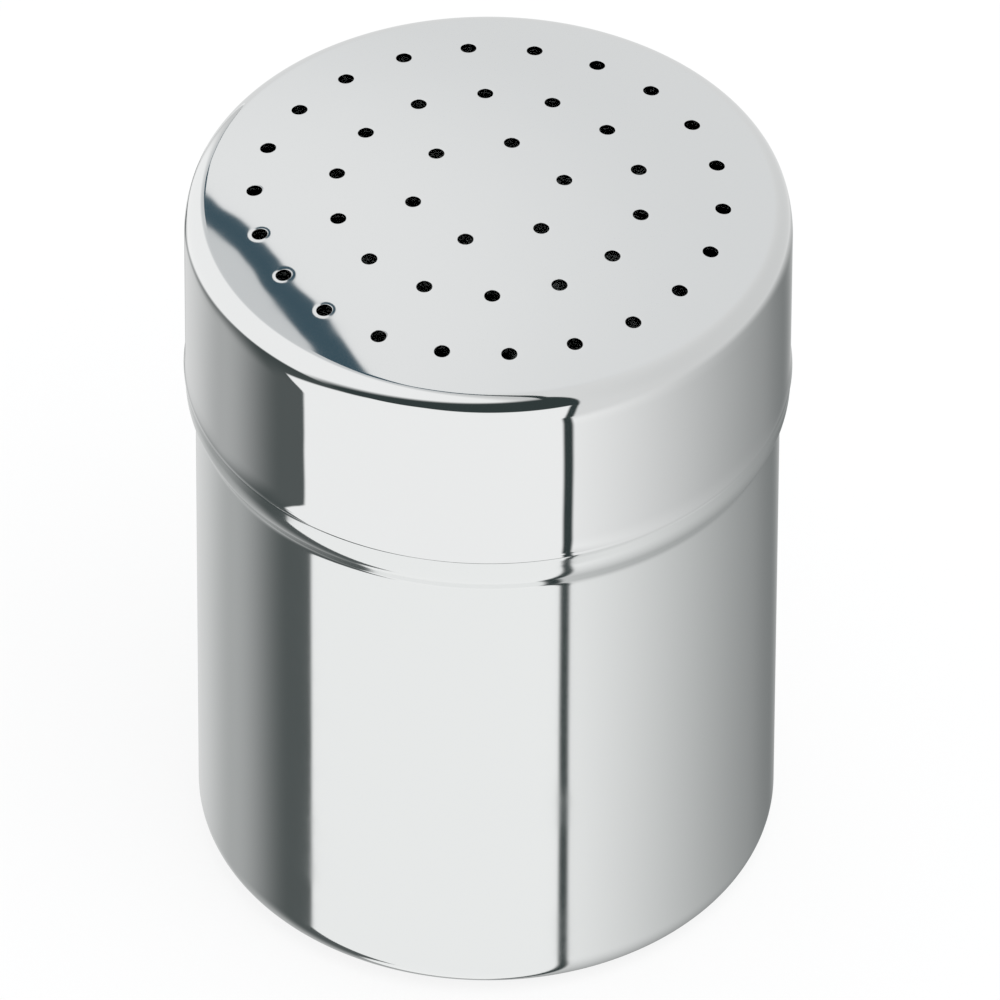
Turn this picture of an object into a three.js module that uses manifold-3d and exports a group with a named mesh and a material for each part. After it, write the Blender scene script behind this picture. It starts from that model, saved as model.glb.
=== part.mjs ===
// Stainless steel spice shaker: a drawn cup, and a perforated lid that pushes on over the cup's neck.
// Millimetres, +Z up. The origin is the centre of the plane that the cup stands on, and -Y is the front.
import * as THREE from "three";
import { mergeVertices } from "three/addons/utils/BufferGeometryUtils.js";
import Module from "manifold-3d";

const wasm = await Module();
wasm.setup();

// Driving sizes of the whole
const overallHeight = 94.5; // standing plane to the crown of the lid
const sheet = 0.6; // thickness of the sheet that both pieces are drawn from
const fitClearance = 0.2; // between the cup's neck and the lid's skirt, all round
const seatGap = 0.1; // between the inner corner of the lid's edge and the bead that stops it
const rimGap = 0.4; // between the cup's rim and the height where the lid's skirt starts to bend in

// The lid
const lidHeight = 26; // crown to the outer corner of the lower edge
const skirtRadius = 34.85; // outside of the straight skirt
const flareOut = 0.2; // how far the trimmed lower edge stands out
const flareRise = 1.7; // height over which it does so
const crownRadius = 240; // sphere of the shallow dome
const lidCornerRadius = 2.2; // outside bend round the edge of the dome
const lidRunInRadius = 9.6; // slower bend that carries on from it into the skirt
const lidRunInTurn = 15; // degrees that are left for the slower bend

// The holes stand in rings about the axis; each first angle is counted in degrees from the front towards +X
const holeRadius = 0.92;
const dipRadius = 1.8; // outer edge of the soft dip that the punch draws in round a hole
const dipDepth = 0.1;
const outerRingInset = 8; // skirt's outside to the outer ring
const holeRings = [
  { radiusShare: 0.33, count: 6, firstAngle: 42.8 },
  { radiusShare: 0.66, count: 14, firstAngle: 1.5 },
  { radiusShare: 1, count: 22, firstAngle: 5.2 },
];

// The cup
const wallInset = 1.15; // crest of the bead, in line with the skirt's outside, to the straight wall
const shoulderLean = 26.5; // degrees that the shoulder leans out below the bead
const shoulderFilletRadius = 3.5; // bend from the wall out to the shoulder
const beadCrestRadius = 2.5; // bend over the crest
const beadTopLean = 9; // degrees that the bead leans in above its crest
const beadRollInside = 0.04; // inside radius of the tight bend at the bead's top, in to the neck
const cupCornerRadius = 4.3; // outside bend from the wall to the foot
const footWidth = 3.4; // flat ring that the cup stands on
const panelRise = 0.9; // raised panel inside that ring, over the standing plane
const panelSlopeWidth = 2.2; // its sloping edge

// How finely round shapes are cut
const roundSteps = 60; // about the axis
const holeSteps = 12;
const domeSteps = 4;
const bendSteps = 6;
const smallBendSteps = 3;

// Where the two pieces meet
const lidEdgeZ = overallHeight - lidHeight;
const neckRadius = skirtRadius - sheet - fitClearance;
const wallRadius = skirtRadius - wallInset;
const crownCentreZ = overallHeight - crownRadius;
const runInAngle = THREE.MathUtils.degToRad(lidRunInTurn);
const runInCentreX = skirtRadius - lidRunInRadius;
const lidCornerX = runInCentreX + (lidRunInRadius - lidCornerRadius) * Math.cos(runInAngle);
const lidCornerAngle = Math.acos(lidCornerX / (crownRadius - lidCornerRadius));
const lidCornerZ = crownCentreZ + (crownRadius - lidCornerRadius) * Math.sin(lidCornerAngle);
const skirtTopZ = lidCornerZ - (lidRunInRadius - lidCornerRadius) * Math.sin(runInAngle);
const rimZ = skirtTopZ - rimGap;

// The inner corner of the lid's flared edge comes down on the bead's roll, which reaches up inside it
const flareAngle = Math.atan2(flareOut, flareRise / 2);
const edgeCornerX = skirtRadius + flareOut - sheet * Math.cos(flareAngle);
const edgeCornerZ = lidEdgeZ - sheet * Math.sin(flareAngle);
const beadRollRadius = sheet + beadRollInside;
const beadRollZ = edgeCornerZ - Math.sqrt((beadRollRadius + seatGap) ** 2 - (edgeCornerX - neckRadius) ** 2);

// A point of a section: distance from the axis, and height
function at(radius, height) {
  return new THREE.Vector2(radius, height);
}

// Points of an arc in the section, both ends included
function arc(centre, radius, fromAngle, toAngle, steps) {
  return Array.from({ length: steps + 1 }, (_, i) => {
    const angle = fromAngle + ((toAngle - fromAngle) * i) / steps;
    return at(radius, 0).rotateAround(at(0, 0), angle).add(centre);
  });
}

// The other face of the sheet: an outline that starts on the axis, moved sideways by the sheet's thickness
// with its corners mitred. The quarter turn gives the side, positive for the left of the way it runs.
function otherFace(outline, quarterTurn) {
  const sideways = outline.slice(1).map((point, i) => {
    return point.clone().sub(outline[i]).normalize().rotateAround(at(0, 0), quarterTurn);
  });
  const moved = outline.slice(1).map((point, i) => {
    const before = sideways[i];
    const after = sideways[Math.min(i + 1, sideways.length - 1)];
    const mitre = before.clone().add(after).divideScalar(1 + before.dot(after));
    return point.clone().addScaledVector(mitre, sheet);
  });
  return [outline[0].clone().addScaledVector(at(0, Math.sign(sideways[0].y)), sheet), ...moved];
}

// A section turned about the Z axis; its points run anticlockwise and start and end on the axis
function turned(section, steps) {
  return new THREE.LatheGeometry(section, steps).rotateX(Math.PI / 2);
}

// A closed geometry as a solid to cut with
function solidOf(geometry) {
  geometry.deleteAttribute("normal");
  geometry.deleteAttribute("uv");
  const merged = mergeVertices(geometry);
  const corners = merged.index.array;
  const kept = [];
  for (let i = 0; i < corners.length; i += 3) {
    const triangle = corners.slice(i, i + 3);
    if (new Set(triangle).size === 3) kept.push(...triangle);
  }
  const vertProperties = merged.attributes.position.array;
  return new wasm.Manifold(new wasm.Mesh({ numProp: 3, vertProperties, triVerts: new Uint32Array(kept) }));
}

function geometryOf(solid) {
  const mesh = solid.getMesh();
  const geometry = new THREE.BufferGeometry();
  geometry.setAttribute("position", new THREE.BufferAttribute(mesh.vertProperties, 3));
  geometry.setIndex(new THREE.BufferAttribute(mesh.triVerts, 1));
  geometry.computeVertexNormals();
  return geometry;
}

// The lid's outside: dome, the two bends, straight skirt, and the slight flare at its trimmed edge
function lidOutside() {
  const flare = new THREE.QuadraticBezierCurve(
    at(skirtRadius, lidEdgeZ + flareRise),
    at(skirtRadius, lidEdgeZ + flareRise / 2),
    at(skirtRadius + flareOut, lidEdgeZ),
  );
  return [
    ...arc(at(0, crownCentreZ), crownRadius, Math.PI / 2, lidCornerAngle, domeSteps),
    ...arc(at(lidCornerX, lidCornerZ), lidCornerRadius, lidCornerAngle, runInAngle, bendSteps).slice(1),
    ...arc(at(runInCentreX, skirtTopZ), lidRunInRadius, runInAngle, 0, smallBendSteps).slice(1),
    ...flare.getPoints(smallBendSteps),
  ];
}

// What the punch takes out: a round hole square to the dome, with a shallow cone where the sheet dips into it
function punched(ringRadius, angle) {
  const overrun = sheet;
  const coneSpread = ((dipRadius - holeRadius) * overrun) / dipDepth;
  const section = [
    at(0, crownRadius - sheet - overrun),
    at(holeRadius, crownRadius - sheet - overrun),
    at(holeRadius, crownRadius - dipDepth),
    at(dipRadius + coneSpread, crownRadius + overrun),
    at(0, crownRadius + overrun),
  ];
  const tool = turned(section, holeSteps);
  tool.rotateX(Math.asin(ringRadius / crownRadius)).rotateZ(angle).translate(0, 0, crownCentreZ);
  return solidOf(tool);
}

function lidGeometry() {
  const outside = lidOutside();
  const inside = otherFace(outside, -Math.PI / 2);
  let lid = solidOf(turned([...inside, ...outside.reverse()], roundSteps));
  for (const { radiusShare, count, firstAngle } of holeRings) {
    for (let i = 0; i < count; i += 1) {
      const angle = THREE.MathUtils.degToRad(firstAngle) + (i * 2 * Math.PI) / count;
      lid = lid.subtract(punched((skirtRadius - outerRingInset) * radiusShare, angle));
    }
  }
  return geometryOf(lid);
}

// The shoulder and bead, upwards: the wall bends out, leans, turns over the crest and rolls in to the neck
function beadOutside() {
  const lean = THREE.MathUtils.degToRad(shoulderLean);
  const topLean = THREE.MathUtils.degToRad(beadTopLean);
  const bends = shoulderFilletRadius + beadCrestRadius;
  const slope = (wallInset - bends * (1 - Math.cos(lean))) / Math.sin(lean);
  const crestX = skirtRadius - beadCrestRadius;
  const coneTopX = neckRadius + beadRollRadius * Math.cos(topLean);
  const coneRise = (crestX + beadCrestRadius * Math.cos(topLean) - coneTopX) / Math.tan(topLean);
  const crestZ = beadRollZ + (beadRollRadius - beadCrestRadius) * Math.sin(topLean) - coneRise;
  const filletZ = crestZ - bends * Math.sin(lean) - slope * Math.cos(lean);
  const filletCentre = at(wallRadius + shoulderFilletRadius, filletZ);
  return [
    ...arc(filletCentre, shoulderFilletRadius, Math.PI, Math.PI - lean, smallBendSteps),
    ...arc(at(crestX, crestZ), beadCrestRadius, -lean, topLean, smallBendSteps),
    ...arc(at(neckRadius, beadRollZ), beadRollRadius, topLean, Math.PI / 2, smallBendSteps),
  ];
}

// The cup's outside, from the middle of its underside to the rim
function cupOutside() {
  const footOuterRadius = wallRadius - cupCornerRadius;
  const footInnerRadius = footOuterRadius - footWidth;
  return [
    at(0, panelRise),
    at(footInnerRadius - panelSlopeWidth, panelRise),
    at(footInnerRadius, 0),
    ...arc(at(footOuterRadius, cupCornerRadius), cupCornerRadius, -Math.PI / 2, 0, bendSteps),
    ...beadOutside(),
    at(neckRadius, rimZ),
  ];
}

function cupGeometry() {
  const outside = cupOutside();
  const inside = otherFace(outside, Math.PI / 2);
  return turned([...outside, ...inside.reverse()], roundSteps);
}

// Polished stainless steel, the lid a little brighter than the cup
const cupSteel = new THREE.MeshStandardMaterial({ color: 0xc6c9ca, roughness: 0.14, metalness: 1 });
const lidSteel = new THREE.MeshStandardMaterial({ color: 0xcccecf, roughness: 0.1, metalness: 1 });

function named(name, geometry, material) {
  const mesh = new THREE.Mesh(geometry, material);
  mesh.name = name;
  return mesh;
}

const shaker = new THREE.Group();
shaker.add(named("cup", cupGeometry(), cupSteel));
shaker.add(named("perforated_lid", lidGeometry(), lidSteel));

export default shaker;
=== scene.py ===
# %% [markdown]
# # A polished steel spice shaker
# The shaker is two drawn sheets of stainless steel: a cup, and a lid that pushes on over the cup's neck.
# Both are mirrors, so most of what the eye sees is the studio round them. The lesson therefore has three
# parts: the exact shapes, a steel that is nearly but not quite a perfect mirror, and a studio made of paper
# sheets.

import math

import bmesh
import bpy
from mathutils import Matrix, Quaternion, Vector


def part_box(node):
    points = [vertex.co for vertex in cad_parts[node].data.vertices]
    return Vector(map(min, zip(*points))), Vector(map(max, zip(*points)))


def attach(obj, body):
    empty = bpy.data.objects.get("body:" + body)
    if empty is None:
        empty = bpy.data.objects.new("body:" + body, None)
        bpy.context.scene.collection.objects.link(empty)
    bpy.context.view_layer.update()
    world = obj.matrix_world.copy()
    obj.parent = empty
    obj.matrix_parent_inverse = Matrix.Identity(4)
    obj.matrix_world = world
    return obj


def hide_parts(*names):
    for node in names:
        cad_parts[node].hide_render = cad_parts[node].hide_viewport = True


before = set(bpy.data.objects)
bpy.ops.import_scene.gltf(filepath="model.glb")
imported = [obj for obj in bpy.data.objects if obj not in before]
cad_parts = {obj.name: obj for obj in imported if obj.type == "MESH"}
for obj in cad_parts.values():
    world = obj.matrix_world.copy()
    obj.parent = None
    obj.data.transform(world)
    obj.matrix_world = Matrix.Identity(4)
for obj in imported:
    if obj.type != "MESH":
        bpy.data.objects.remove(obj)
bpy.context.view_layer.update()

# %% [markdown]
# ## Sizes
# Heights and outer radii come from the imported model, so the dressed pieces lie exactly where the plain
# solids do. What the boxes can't tell, such as bend radii, is written once in real millimetres, beside the
# piece that it shapes. Numbers measured off a finished mesh would do too, but nobody could read or change
# them.

# %% Sizes from the frame
MM = 0.001
UP = Vector((0, 0, 1))
ORIGIN = Vector((0, 0, 0))

lid_low, lid_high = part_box("perforated_lid")
cup_low, cup_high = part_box("cup")
crown_z = lid_high.z
lid_corner_z = lid_low.z  # inner corner of the lid's edge, a little below the outer one
lid_edge_radius = lid_high.x
rim_z = cup_high.z
foot_z = cup_low.z
print(f"crown {crown_z / MM:.1f} mm, lid edge {lid_corner_z / MM:.1f} mm, rim {rim_z / MM:.1f} mm")

# %% Sizes that both pieces share
sheet = 0.6 * MM
fit_clearance = 0.2 * MM
seat_gap = 0.02 * MM  # between the inner corner of the lid's edge and the bead that it comes down on
flare_out = 0.2 * MM  # how far the lid's edge stands out
flare_rise = 2.3 * MM  # height over which it does so
flare_angle = math.atan2(flare_out, flare_rise / 2)
skirt_radius = lid_edge_radius - flare_out
lid_edge_z = lid_corner_z + sheet * math.sin(flare_angle)
edge_rounding = 0.03 * MM
support = 0.25 * MM  # distance of the extra loop beside a bend, which keeps its shading off the flat
merge_distance = 0.002 * MM
print(f"skirt radius {skirt_radius / MM:.2f} mm, flare {math.degrees(flare_angle):.1f} degrees at the edge")

# %% [markdown]
# ## Camera
# The camera stands where the photograph was taken: far away with a long lens, so the sides look almost
# parallel. Its angle, distance and aim were fitted to the lid's rim, the outline and the holes. It could be
# placed by eye, but in a mirror a degree of tilt moves every reflection. It has no depth of field, because
# all of the photograph is sharp.

# %% Camera at the photograph's angle
camera_elevation = math.radians(41.62)
camera_roll = math.radians(0.284)
camera_distance = 2.3634
camera_lens = 734.5
camera_aim = Vector((1.46 * MM, 0, crown_z - 47.44 * MM))

camera_data = bpy.data.cameras.new("photo_camera")
camera_data.lens = camera_lens
camera = bpy.data.objects.new("photo_camera", camera_data)
bpy.context.scene.collection.objects.link(camera)
bpy.context.scene.camera = camera
towards_camera = Vector((0, -math.cos(camera_elevation), math.sin(camera_elevation)))
camera.location = camera_aim + camera_distance * towards_camera
camera.rotation_mode = "QUATERNION"
camera.rotation_quaternion = towards_camera.to_track_quat("Z", "Y") @ Quaternion(UP, camera_roll)
print("camera at", tuple(round(value, 4) for value in camera.location))

# %% [markdown]
# ## Sections
# A drawn sheet is the same all the way round, so each piece starts as the outline of half a cut through it.
# The outline is only the outer face. A Solidify modifier later gives it the sheet's thickness, as the press
# would, and a small Bevel rounds the cut edges. A cylinder shaped by Subdivision Surface would be quicker,
# but its bends would be only nearly round, and a mirror shows that.

# %% Helpers for a section: points are (radius, height)
def arc(centre, radius, start, stop, steps):
    """Points of an arc, both ends included, with angles in radians from the outward direction."""
    angles = [start + (stop - start) * step / steps for step in range(steps + 1)]
    return [(centre[0] + radius * math.cos(a), centre[1] + radius * math.sin(a)) for a in angles]


def straight(start, stop, longest):
    """Points between two ends, both left out: one close to each end, and others at most `longest` apart."""
    start, stop = Vector(start), Vector(stop)
    length = (stop - start).length
    inner = length - 2 * support
    steps = max(1, math.ceil(inner / longest))
    shares = [(support + inner * step / steps) / length for step in range(steps + 1)]
    return [tuple(start.lerp(stop, share)) for share in shares]


def around(radius, height, angle):
    """A point in space: angle 0 is the front, and the angle grows towards +X."""
    return Vector((radius * math.sin(angle), -radius * math.cos(angle), height))


def spin_outline(mesh, outline, first_angle, steps):
    """Turns an outline once round the axis."""
    points = [mesh.verts.new(around(radius, height, first_angle)) for radius, height in outline]
    lines = [mesh.edges.new(pair) for pair in zip(points, points[1:])]
    bmesh.ops.spin(
        mesh, geom=points + lines, cent=ORIGIN, axis=UP, angle=2 * math.pi, steps=steps, use_merge=True
    )


# %% Helper that turns a skin into a finished piece
square_edge = math.radians(50)  # the cut edges turn by more than this, and no cell of a bend does


def finish_sheet(name, mesh, body, node, material):
    """Stores the skin as an object with the sheet's thickness, rounded edges and its place in the frame."""
    bmesh.ops.remove_doubles(mesh, verts=mesh.verts, dist=merge_distance)
    bmesh.ops.recalc_face_normals(mesh, faces=mesh.faces)
    for face in mesh.faces:
        face.smooth = True
    data = bpy.data.meshes.new(name)
    mesh.to_mesh(data)
    mesh.free()
    data.materials.append(material)
    piece = bpy.data.objects.new(name, data)
    bpy.context.scene.collection.objects.link(piece)
    wall = piece.modifiers.new("sheet thickness", "SOLIDIFY")
    wall.thickness = sheet
    wall.offset = -1  # inwards, so the outline stays the outer face
    wall.use_even_offset = True
    wall.use_quality_normals = True
    rounding = piece.modifiers.new("rounded cut edges", "BEVEL")
    rounding.width = edge_rounding
    rounding.segments = 2
    rounding.limit_method = "ANGLE"
    rounding.angle_limit = square_edge
    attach(piece, body)
    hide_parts(node)
    return piece


# %% [markdown]
# ## Steel
# Polished stainless isn't a perfect mirror. A buffing wheel leaves a faint haze that softens every
# reflected edge, fingers and cloths leave patches of more haze, and the press leaves very low waves in the
# sheet. One flat roughness would look like plated plastic, and waves in the mesh would need far more faces.
# So the haze goes to Roughness and the waves to a Bump, both from noise in Object coordinates, which stays
# on the piece. The lid is brighter, cleaner and a little more dented than the cup.

# %% Shader maths as Python expressions
class Value:
    """A socket whose sums and products are Math nodes."""

    def __init__(self, shader, socket):
        self.shader, self.socket = shader, socket

    def math(self, operation, other):
        return self.shader.node("ShaderNodeMath", {"operation": operation}, [self, other])

    def __add__(self, other):
        return self.math("ADD", other)

    __radd__ = __add__

    def __mul__(self, other):
        return self.math("MULTIPLY", other)

    __rmul__ = __mul__

    def __sub__(self, other):
        return self.math("SUBTRACT", other)

    def __rsub__(self, other):
        return (self * -1) + other

    def between(self, low, high):
        """0 below low, 1 above high, and an even S-curve between them."""
        settings = {"interpolation_type": "SMOOTHSTEP"}
        inputs = {"Value": self, "From Min": low, "From Max": high}
        return self.shader.node("ShaderNodeMapRange", settings, inputs)


class Shader:
    """A material's or world's node tree, built by calls."""

    def __init__(self, owner):
        owner.use_nodes = True
        self.tree = owner.node_tree
        self.tree.nodes.clear()

    def node(self, kind, settings=None, inputs=(), output=0):
        """Adds a node: settings first, then the values or links of its sockets, by place or by name."""
        made = self.tree.nodes.new(kind)
        for key, value in (settings or {}).items():
            setattr(made, key, value)
        pairs = inputs.items() if isinstance(inputs, dict) else enumerate(inputs)
        for key, value in pairs:
            if isinstance(value, Value):
                self.tree.links.new(value.socket, made.inputs[key])
            else:
                made.inputs[key].default_value = value
        return Value(self, made.outputs[output]) if made.outputs else made

    def mix_colour(self, factor, first, second):
        settings = {"data_type": "RGBA", "blend_type": "MIX"}
        inputs = {"Factor": factor, 6: first, 7: second}
        return self.node("ShaderNodeMix", settings, inputs, output=2)


# %% Polished steel
# Noise scales count patches to a metre
smudge_scale = 55.0  # patches about as wide as a fingertip
smudge_span = (0.45, 0.75)  # noise below it is clean steel, and above it a full smudge
grain_scale = 2600.0  # specks well under a millimetre
grain_share = 0.4  # what the specks add, as a share of what the smudges add


def noise(shader, scale, detail, fine):
    """Noise in Object coordinates: detail counts its octaves, and fine is the share that each one keeps."""
    place = shader.node("ShaderNodeTexCoord", output=3)
    inputs = {"Vector": place, "Scale": scale, "Detail": detail, "Roughness": fine}
    return shader.node("ShaderNodeTexNoise", inputs=inputs)


def polished_steel(name, colour, haze, smudged, wave_scale, wave_height):
    """Steel with a clean roughness of haze, up to smudged more in the smudges, and waves of wave_height."""
    material = bpy.data.materials.new(name)
    shader = Shader(material)
    smudges = noise(shader, smudge_scale, detail=5.0, fine=0.6).between(*smudge_span)
    grain = noise(shader, grain_scale, detail=2.0, fine=0.5)
    waves = noise(shader, wave_scale, detail=1.0, fine=0.4)
    roughness = haze + smudged * smudges + grain_share * smudged * grain
    pressed = shader.node(
        "ShaderNodeBump", inputs={"Strength": 1.0, "Distance": wave_height, "Height": waves}
    )
    surface = shader.node(
        "ShaderNodeBsdfPrincipled",
        inputs={"Base Color": (*colour, 1), "Metallic": 1.0, "Roughness": roughness, "Normal": pressed},
    )
    shader.node("ShaderNodeOutputMaterial", inputs={"Surface": surface})
    print(name, "has", len(shader.tree.nodes), "nodes")
    return material


cup_steel = polished_steel(
    "cup_steel", (0.80, 0.815, 0.812), haze=0.065, smudged=0.035, wave_scale=38.0, wave_height=0.02 * MM
)
lid_steel = polished_steel(
    "lid_steel", (0.815, 0.825, 0.825), haze=0.03, smudged=0.012, wave_scale=110.0, wave_height=0.026 * MM
)

# %% [markdown]
# ## Cup
# The real cup is pressed from one disc. The outline runs from the middle of its underside to the rim: a
# raised panel, the ring that it stands on, a round corner, the straight wall, a shoulder that leans out,
# the bead that stops the lid, and the neck that the lid hides. Rings could be extruded one after another,
# but one outline of arcs and lines lets each bend run smoothly into the next, and the reflections need
# that.

# %% Cup sizes
neck_radius = skirt_radius - sheet - fit_clearance
wall_inset = 1.15 * MM  # from the bead's crest, which is in line with the lid's skirt, in to the wall
wall_radius = skirt_radius - wall_inset
cup_corner = 4.3 * MM
foot_width = 3.4 * MM
panel_rise = 0.9 * MM
panel_slope = 2.2 * MM  # width of the panel's sloping edge
crest_bend = 3.8 * MM  # bend over the bead's crest
fillet_bend = 2.0 * MM  # bend from the wall out to the shoulder
shoulder_lean = math.radians(26.5)
top_lean = math.radians(7.5)  # how far the bead leans in above its crest
roll_inside = 0.04 * MM  # inside radius of the tight bend at the bead's top, in to the neck
roll_radius = sheet + roll_inside

# Cells along the outline: their number in each bend, and their greatest length on the straight stretches
corner_cells, fillet_cells, crest_cells, roll_cells = 16, 8, 10, 8
wall_cell, foot_cell, bead_cell, neck_cell = 6 * MM, 3 * MM, 1 * MM, 5 * MM
print(f"neck radius {neck_radius / MM:.2f} mm, wall radius {wall_radius / MM:.2f} mm")

# %% Bead, from its top down
# The inner corner of the lid's edge comes down on the roll, which sets the height of everything below it
lid_corner_x = lid_edge_radius - sheet * math.cos(flare_angle)
roll_z = lid_corner_z - math.sqrt((roll_radius + seat_gap) ** 2 - (lid_corner_x - neck_radius) ** 2)
crest_x = skirt_radius - crest_bend
cone_top_x = neck_radius + roll_radius * math.cos(top_lean)
cone_rise = (crest_x + crest_bend * math.cos(top_lean) - cone_top_x) / math.tan(top_lean)
crest_z = roll_z + (roll_radius - crest_bend) * math.sin(top_lean) - cone_rise
bends = fillet_bend + crest_bend
slope = (wall_inset - bends * (1 - math.cos(shoulder_lean))) / math.sin(shoulder_lean)
fillet_z = crest_z - bends * math.sin(shoulder_lean) - slope * math.cos(shoulder_lean)
print(f"crest at {crest_z / MM:.2f} mm; the shoulder starts at {fillet_z / MM:.2f} mm")

# %% Cup outline
foot_outer = wall_radius - cup_corner
foot_inner = foot_outer - foot_width
panel_radius = foot_inner - panel_slope
panel_z = foot_z + panel_rise

half_turn, quarter_turn = math.pi, math.pi / 2
fillet_centre = (wall_radius + fillet_bend, fillet_z)
fillet = arc(fillet_centre, fillet_bend, half_turn, half_turn - shoulder_lean, fillet_cells)
crest = arc((crest_x, crest_z), crest_bend, -shoulder_lean, top_lean, crest_cells)
roll = arc((neck_radius, roll_z), roll_radius, top_lean, quarter_turn, roll_cells)
corner = arc((foot_outer, foot_z + cup_corner), cup_corner, -quarter_turn, 0, corner_cells)
panel_edge = [(panel_radius, panel_z), (foot_inner, foot_z)]

cup_outline = [(0, panel_z), *straight((0, panel_z), panel_edge[0], wall_cell)]
cup_outline += [panel_edge[0], *straight(*panel_edge, foot_cell), panel_edge[1]]
cup_outline += [*straight(panel_edge[1], corner[0], foot_cell), *corner]
cup_outline += [*straight(corner[-1], fillet[0], wall_cell), *fillet]
cup_outline += [*straight(fillet[-1], crest[0], bead_cell), *crest]
cup_outline += [*straight(crest[-1], roll[0], bead_cell), *roll]
cup_outline += [*straight(roll[-1], (neck_radius, rim_z), neck_cell), (neck_radius, rim_z)]
print(len(cup_outline), "points in the cup's outline")

# %% Cup
cup_steps = 240
cup_mesh = bmesh.new()
spin_outline(cup_mesh, cup_outline, 0, cup_steps)
cup = finish_sheet("drawn_cup", cup_mesh, "cup", "cup", cup_steel)
print("cup skin:", len(cup.data.polygons), "faces")

# %% [markdown]
# ## Lid
# The real lid is pressed from a second disc, trimmed, and punched with 42 holes in three rings. A boolean
# could cut them, but it leaves long thin faces, which ripple in a mirror. So the dome is spun in three
# bands, one for each ring, because each ring has its own number of holes and its own turn. In its band
# every hole has twelve cells of its own, so that the grid lines pass exactly through its centre. The bands
# are then bridged, and each hole is opened by insetting loops.

# %% Lid sizes
crown_radius = 240 * MM  # sphere of the shallow dome
lid_corner = 2.2 * MM  # tight bend round the edge of the dome
run_in_radius = 9.6 * MM  # slower bend that carries on from it into the skirt
run_in_turn = math.radians(15)  # what is left for the slower bend to turn
hole_radius = 0.92 * MM
dip_radius = 1.65 * MM
dip_depth = 0.0075 * MM
outer_ring_inset = 8 * MM
outer_ring = skirt_radius - outer_ring_inset

# %% Lid section
crown_centre_z = crown_z - crown_radius
run_in_x = skirt_radius - run_in_radius
corner_x = run_in_x + (run_in_radius - lid_corner) * math.cos(run_in_turn)
bend_angle = math.acos(corner_x / (crown_radius - lid_corner))
corner_z = crown_centre_z + (crown_radius - lid_corner) * math.sin(bend_angle)
skirt_top_z = corner_z - (run_in_radius - lid_corner) * math.sin(run_in_turn)
dome_end = crown_radius * math.cos(bend_angle)
print(f"dome ends {dome_end / MM:.2f} mm from the axis, and the skirt starts at {skirt_top_z / MM:.2f} mm")


def dome_z(radius):
    return crown_centre_z + math.sqrt(crown_radius**2 - radius**2)


# %% Bands of the dome
cell = 0.64 * MM
cells_per_hole = 12
block = 3  # cells from a hole's centre to the side of its block
rings = [
    {"share": 0.33, "holes": 6, "first": math.radians(42.8)},
    {"share": 0.66, "holes": 14, "first": math.radians(1.5)},
    {"share": 1.0, "holes": 22, "first": math.radians(5.2)},
]
for ring in rings:
    ring["radius"] = outer_ring * ring["share"]
    ring["steps"] = ring["holes"] * cells_per_hole
    ring["block"] = [ring["radius"] + cell * step for step in range(-block, block + 1)]


def rows(start, stop, longest):
    """Radii from start to stop, both included, at most `longest` apart."""
    steps = max(1, math.ceil((stop - start) / longest))
    return [start + (stop - start) * step / steps for step in range(steps + 1)]


def band(start, ring, stop):
    """Radii of one band: rows up to the block of cells round the holes, the block, and rows after it."""
    before = rows(start, ring["block"][0], cell)[:-1]
    after = rows(ring["block"][-1], stop, cell)[1:]
    return before + ring["block"] + after


inner, middle, outer = rings
seam_radii = [(a["block"][-1] + b["block"][0]) / 2 for a, b in ((inner, middle), (middle, outer))]
band_radii = [
    band(0, inner, seam_radii[0]),
    band(seam_radii[0] + cell, middle, seam_radii[1]),
    band(seam_radii[1] + cell, outer, dome_end - support),
]
print("rows in the bands:", [len(radii) for radii in band_radii])

# %% Skirt below the dome
bend_cells, run_in_cells, flare_cells = 14, 8, 6
skirt_cell = 4 * MM
tight_bend = arc((corner_x, corner_z), lid_corner, bend_angle, run_in_turn, bend_cells)
run_in = arc((run_in_x, skirt_top_z), run_in_radius, run_in_turn, 0, run_in_cells)
flare_start = (skirt_radius, lid_edge_z + flare_rise)
flare_shares = [step / flare_cells for step in range(1, flare_cells + 1)]
flare = [
    (skirt_radius + flare_out * share**2, flare_start[1] - flare_rise * share) for share in flare_shares
]
skirt = [*tight_bend, *run_in[1:], *straight(run_in[-1], flare_start, skirt_cell), flare_start, *flare]
print(len(skirt), "points in the skirt's outline")

# %% Spin the bands and bridge them
lid_mesh = bmesh.new()
for ring, radii in zip(rings, band_radii):
    outline = [(radius, dome_z(radius)) for radius in radii]
    if ring is outer:
        outline += skirt
    spin_outline(lid_mesh, outline, ring["first"], ring["steps"])
bmesh.ops.remove_doubles(lid_mesh, verts=lid_mesh.verts, dist=merge_distance)


def loop_at(mesh, radius):
    """Open edges that lie on a circle about the axis."""
    near = 0.01 * MM
    on_circle = {vert for vert in mesh.verts if abs(math.hypot(vert.co.x, vert.co.y) - radius) < near}
    return [edge for edge in mesh.edges if edge.is_boundary and on_circle.issuperset(edge.verts)]


for seam in seam_radii:
    loops = loop_at(lid_mesh, seam) + loop_at(lid_mesh, seam + cell)
    bmesh.ops.bridge_loops(lid_mesh, edges=loops)
print("lid skin before the holes:", len(lid_mesh.faces), "faces")

# %% [markdown]
# ### Holes
# A punch drags the sheet down a little before it breaks through, so each hole sits in a dip. The dip is
# less than a hundredth of a millimetre deep, but the dome mirrors it as a bright ring. A bump could fake
# it, and would blur at the hole's edge. Here the block of cells round a hole becomes one face, insets draw
# loops inwards, each loop is moved onto a circle at the depth that the dip has there, and the last face is
# taken out.

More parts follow.
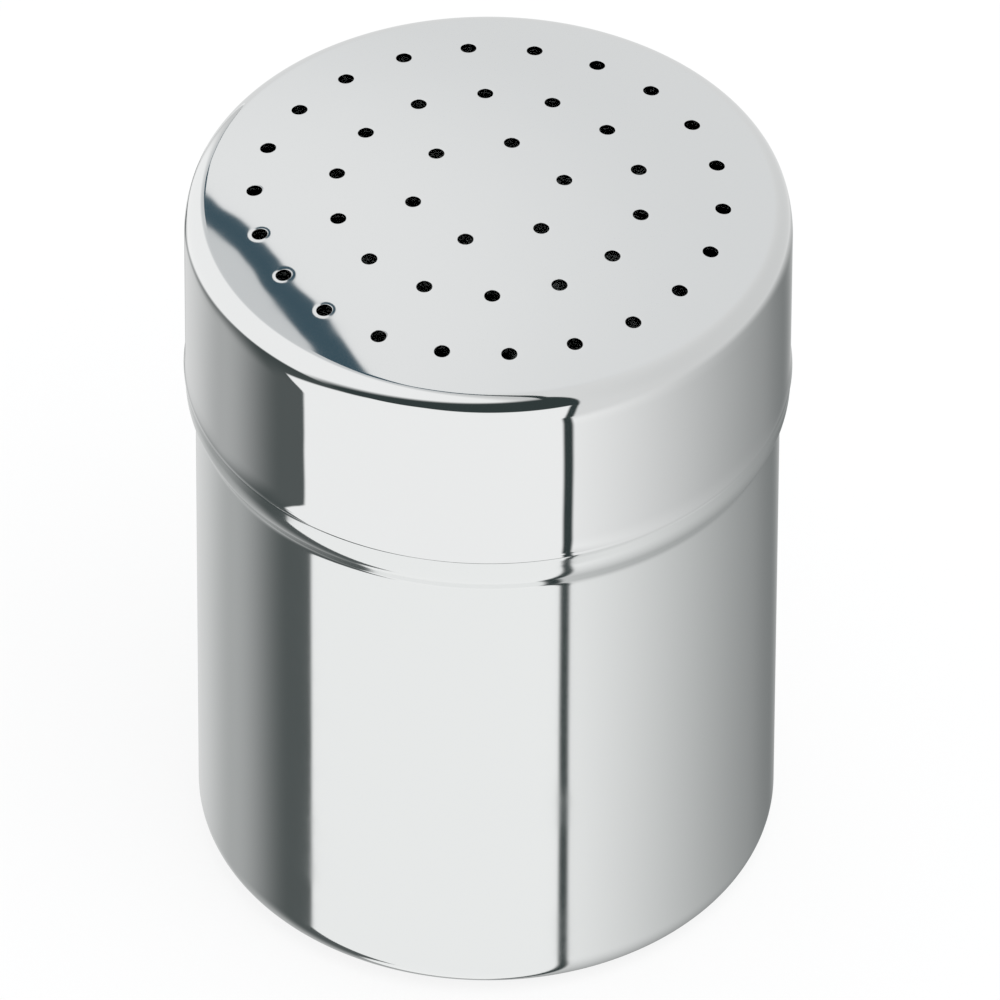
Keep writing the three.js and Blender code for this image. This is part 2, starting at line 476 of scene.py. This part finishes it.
# %% Loops round a hole, and the depth of the dip
loop_shares = [1.0, 0.86, 0.72, 0.58, 0.44, 0.3, 0.18, 0.08, 0.0]
inset_step = 0.02 * MM  # only makes a loop, whose points then move to their circle
block_margin = 0.1  # of a cell, so that no neighbour counts as part of a block
support_circle = 1.8 * MM  # a loop on the undisturbed dome, so that the dip's shading stays near the hole
loop_radii = [support_circle] + [hole_radius + (dip_radius - hole_radius) * share for share in loop_shares]


def dip(distance):
    """Depth of the dip at a distance from the hole's centre."""
    reach = max(0.0, (dip_radius - distance) / (dip_radius - hole_radius))
    return dip_depth * reach**3


print(len(loop_radii), "loops round each hole, from", round(loop_radii[0] / MM, 2), "mm")

# %% Punch the holes
def cells_round(mesh, ring, angle):
    """The faces of the block round one hole."""
    reach = (block - block_margin) * cell
    turn = (block - block_margin) * 2 * math.pi / ring["steps"]
    found = []
    for face in mesh.faces:
        middle_point = face.calc_center_median()
        if abs(math.hypot(middle_point.x, middle_point.y) - ring["radius"]) > reach:
            continue
        apart = math.atan2(middle_point.x, -middle_point.y) - angle
        if abs(math.remainder(apart, 2 * math.pi)) < turn:
            found.append(face)
    return found


def punch(mesh, ring, angle):
    """Opens one hole, with the dip round it."""
    centre = around(ring["radius"], 0, angle)
    plate = bmesh.ops.dissolve_faces(mesh, faces=cells_round(mesh, ring, angle))["region"][0]
    for distance in loop_radii:
        bmesh.ops.inset_individual(mesh, faces=[plate], thickness=inset_step)
        for vert in plate.verts:
            outward = Vector((vert.co.x - centre.x, vert.co.y - centre.y)).normalized() * distance
            x, y = centre.x + outward.x, centre.y + outward.y
            vert.co = Vector((x, y, dome_z(math.hypot(x, y)) - dip(distance)))
    bmesh.ops.delete(mesh, geom=[plate], context="FACES_ONLY")


for ring in rings:
    for index in range(ring["holes"]):
        punch(lid_mesh, ring, ring["first"] + index * 2 * math.pi / ring["holes"])
lid = finish_sheet("perforated_lid_sheet", lid_mesh, "lid", "perforated_lid", lid_steel)
print("lid skin:", len(lid.data.polygons), "faces")

# %% [markdown]
# ## Studio
# The photograph's studio can be read off the steel like a map: a white sheet in front and under the shaker,
# a bright sheet at the left over a grey floor, a pale one behind and at the right, dark gaps between them,
# and the dark opening that the camera looks through. Planes and lamps could be stood round the shaker, but
# their light would spill on the white floor. The sheets are far away compared with the shaker, so they are
# painted in the world by direction instead. The straight edge of a far sheet is a plane through the shaker,
# so each edge is one dot product, and each sheet is a product of edges.

# %% Directions and edges
def towards(azimuth, elevation):
    """A unit vector: azimuth 0 is the front, growing towards +X; both in degrees."""
    a, e = math.radians(azimuth), math.radians(elevation)
    return Vector((math.cos(e) * math.sin(a), -math.cos(e) * math.cos(a), math.sin(e)))


def sine(degrees):
    return math.sin(math.radians(degrees))


class Sky(Shader):
    """A world built from sheets; every direction is an azimuth and an elevation in degrees."""

    def __init__(self, world):
        super().__init__(world)
        self.direction = self.node("ShaderNodeTexCoord", output=0)
        self.height = self.along(UP)

    def along(self, vector):
        """How far the direction points along a vector, from -1 to 1."""
        return self.node(
            "ShaderNodeVectorMath", {"operation": "DOT_PRODUCT"}, [self.direction, tuple(vector)], output=1
        )

    def edge(self, first, second, inside):
        """Sine of the distance from a straight edge through two directions, positive on one side."""
        normal = towards(*first).cross(towards(*second)).normalized()
        return self.along(normal if normal.dot(towards(*inside)) > 0 else -normal)

    def side(self, first, second, inside, softness):
        """1 on the inner side of a straight edge and 0 beyond it."""
        return self.edge(first, second, inside).between(-sine(softness), sine(softness))

    def curved_edge(self, first, second, third, inside):
        """The same for the edge of a curved sheet: a plane through three directions, off the shaker."""
        a, b, c = towards(*first), towards(*second), towards(*third)
        normal = (b - a).cross(c - a).normalized()
        if normal.dot(towards(*inside)) < normal.dot(a):
            normal = -normal
        return self.along(normal) - normal.dot(a)

    def stacked(self, elevation, below, above):
        """One value below an elevation and another above it."""
        is_above = self.height.between(sine(elevation - join_blur), sine(elevation + join_blur))
        return below + (above - below) * is_above


# %% Widths, in degrees, and a direction inside each sheet
blur = 0.6  # half the width of an edge
gap_blur = 0.1  # the same where the dome enlarges the edge
join_blur = 0.25  # the same where one piece of an edge passes into the next
slit_half = 1.4  # half the width of the slit
front, left, right, behind = (0, -40), (-120, 10), (90, 0), (180, 40)

# %% Tones of the paper, where 1 is white
left_by_gap, left_gain = 0.64, 0.41  # left sheet beside the gap, and what it gains away from it
floor_dark, floor_gain, floor_last_gain = 0.06, 0.36, 0.3  # grey floor at its dark end, and its two rises
floor_under_lip = 0.35  # share of the floor's tone that is left right under the left sheet's lip
low_middle, low_fall, low_last_fall = 0.65, 0.57, 0.045  # right sheet below its lip, and its two losses
high_middle, high_loss, high_gain = 0.79, 0.09, 0.11  # above it, with its loss and its gain
low_gap_colour, high_gap_colour = (0.037, 0.05, 0.05, 1), (0.05, 0.092, 0.12, 1)
paper_colour = (1.0, 1.0, 1.0, 1)

# %% Slit and gap
world = bpy.data.worlds.new("paper_studio")
bpy.context.scene.world = world
sky = Sky(world)
standing_join = -42.4  # elevation that an upright wall mirrors, where edges pass under the shaker
shoulder_join = -27  # elevation where the slit passes into its upper part

# The slit between the front sheet and the right sheet is nearly upright and then runs under the shaker
slit_high = sky.edge((29.5, 0), (32.3, 56), right)
slit_middle = sky.edge((27.6, -26), (31, -42.3), right)
slit_low = sky.edge((31, -42.3), (105, -81), right)
slit = sky.stacked(standing_join, slit_low, sky.stacked(shoulder_join, slit_middle, slit_high))
right_of_slit = slit.between(sine(slit_half - blur), sine(slit_half + blur))
left_of_slit = (slit * -1).between(sine(slit_half - blur), sine(slit_half + blur))

# The gap between the left sheet and the one behind, which the dome shows as a dark crescent
right_of_gap = sky.side((-166.6, 38.6), (-170.6, 53.8), behind, gap_blur)
gap_left = sky.edge((-165.5, 40), (-167.5, 51.5), left)
left_of_gap = gap_left.between(-sine(gap_blur), sine(gap_blur))

# %% Front sheet, which also lies under the shaker
top_span = (sine(-2.5), sine(1.5))  # it ends about level with the shaker
corner_blur = 1.0
under_span = (sine(70.5), sine(72.5))  # how far below level the paper under the shaker begins
front_top = 1 - sky.height.between(*top_span)
front_corner = sky.side((-40, -11.5), (-58, -20.5), front, corner_blur)
front_corner = front_corner * sky.side((-58, -20.5), (-76, -29.5), front, corner_blur)
left_end_high = sky.side((-74, -41.9), (-76.5, -30), front, blur)
left_end_low = sky.side((-74.3, -41.9), (-71, -58), front, blur)
left_end = sky.stacked(standing_join, left_end_low, left_end_high)
standing = front_top * front_corner * left_end
under = (sky.height * -1).between(*under_span)
front_sheet = left_of_slit * (standing + under * (1 - standing))

# %% Left sheet
inner_blur = 6.5  # its inner side curls away
left_gain_span = (0.02, 0.2)  # sines of the distance from the gap
left_lip_span = (-sine(1), sine(1.5))
lip = sky.curved_edge((-50, -14.5), (-110, -26.8), (-170, -39.5), (-100, 30))
left_inner = sky.side((-54, 0), (-37, 30), left, inner_blur)
left_paper = left_by_gap + left_gain * gap_left.between(*left_gain_span)
left_sheet = left_paper * left_inner * left_of_gap * lip.between(*left_lip_span)

# %% Grey floor under the left sheet's lip
# Spans along a direction run from 0, square to it, to 1, right at it
rise_span, last_rise_span = (0.07, 0.5), (0.5, 0.8)
shade, shade_loss = 0.29, 0.35  # width of the lip's shade on the floor, and what it loses to the back
floor_lip_span = (-sine(1), sine(1))
floor_end_span = (-0.03, 0)
back_left = sky.along(towards(-170, 0))
floor_tone = floor_dark + floor_gain * back_left.between(*rise_span)
floor_tone = floor_tone + floor_last_gain * back_left.between(*last_rise_span)
below_lip = (lip * -1).between(0, shade - shade_loss * back_left)
floor_tone = floor_tone * (floor_under_lip + (1 - floor_under_lip) * below_lip)
on_floor = (1 - lip.between(*floor_lip_span)) * (1 - front_sheet)
on_floor = on_floor * sky.along(towards(-90, 0)).between(*floor_end_span)

# %% Right and back sheet
last_fall_span = (0.6, 0.75)
right_loss_span, behind_gain_span = (0.3, 0.95), (0.86, 0.97)
right_lip_span = (-sine(5), sine(3))
back_right = sky.along(towards(165, 0))
low_tone = low_middle - low_fall * back_right - low_last_fall * back_right.between(*last_fall_span)
high_tone = high_middle - high_loss * sky.along(towards(100, 10)).between(*right_loss_span)
high_tone = high_tone + high_gain * sky.along(towards(-150, 45)).between(*behind_gain_span)
right_lip = sky.curved_edge((100, -25), (140, -32), (175, -40), (140, 30))
above_lip = right_lip.between(*right_lip_span)
back_sheet = right_of_slit * right_of_gap * (low_tone + (high_tone - low_tone) * above_lip)

# %% The studio as one colour
light = front_sheet + left_sheet + on_floor * floor_tone + back_sheet * (1 - on_floor)
high_gap_span = (0.85, 0.97)
in_high_gap = sky.along(towards(-168, 46)).between(*high_gap_span)
gap_colour = sky.mix_colour(in_high_gap, low_gap_colour, high_gap_colour)
studio = sky.mix_colour(light, gap_colour, paper_colour)

# %% World
# Mirrored rays see the studio, the camera sees white, and other rays see an even pale grey
plain_light = (0.86, 0.87, 0.88, 1)
white = (1, 1, 1, 1)
rays = sky.tree.nodes.new("ShaderNodeLightPath")
is_glossy = Value(sky, rays.outputs["Is Glossy Ray"])
is_camera = Value(sky, rays.outputs["Is Camera Ray"])
seen = sky.mix_colour(is_glossy, plain_light, studio)
shown = sky.mix_colour(is_camera, seen, white)
background = sky.node("ShaderNodeBackground", inputs={"Color": shown, "Strength": 1.0})
sky.node("ShaderNodeOutputWorld", inputs={"Surface": background})
print("the studio has", len(sky.tree.nodes), "nodes")

# %% [markdown]
# ## Floor and lamp
# The photograph's ground is cut out to pure white. A white diffuse floor would need so much light that the
# steel's own tones would burn out. So the camera sees mostly an emission of strength 1, and for the rest
# lit paper, which keeps the shaker's soft shadow. The steel doesn't mirror this floor, because the studio
# in the world has a ground of its own.

# %% Floor
floor_size = 6.0  # half its side, in metres
white_share = 0.8  # of what the camera sees of the floor
floor_mesh = bmesh.new()
bmesh.ops.create_grid(floor_mesh, x_segments=1, y_segments=1, size=floor_size)
floor_data = bpy.data.meshes.new("floor")
floor_mesh.to_mesh(floor_data)
floor_mesh.free()
floor = bpy.data.objects.new("floor", floor_data)
bpy.context.scene.collection.objects.link(floor)
floor.visible_glossy = False
floor_paint = bpy.data.materials.new("white_floor")
floor_shader = Shader(floor_paint)
lit_paper = floor_shader.node("ShaderNodeBsdfDiffuse", inputs={"Color": (0.97, 0.97, 0.97, 1)})
white_paper = floor_shader.node("ShaderNodeEmission", inputs={"Color": (1, 1, 1, 1), "Strength": 1.0})
for_camera = floor_shader.node("ShaderNodeLightPath", output=0) * white_share
floor_surface = floor_shader.node("ShaderNodeMixShader", inputs=[for_camera, lit_paper, white_paper])
floor_shader.node("ShaderNodeOutputMaterial", inputs={"Surface": floor_surface})
floor_data.materials.append(floor_paint)
print("floor", 2 * floor_size, "m wide")

# %% Lamp
lamp_data = bpy.data.lights.new("soft_lamp", "AREA")
lamp_data.shape = "DISK"
lamp_data.size = 1.4
lamp_data.energy = 9.0
lamp = bpy.data.objects.new("soft_lamp", lamp_data)
bpy.context.scene.collection.objects.link(lamp)
lamp.location = (0.5, -0.5, 1.6)
lamp.rotation_euler = (ORIGIN - lamp.location).to_track_quat("-Z", "Y").to_euler()
lamp.visible_glossy = False
print("lamp", round(lamp.location.length, 2), "m away")

# %% [markdown]
# ## View settings
# The Standard view shows each tone as it is written.

# %% View settings and the end
bpy.context.scene.view_settings.view_transform = "Standard"
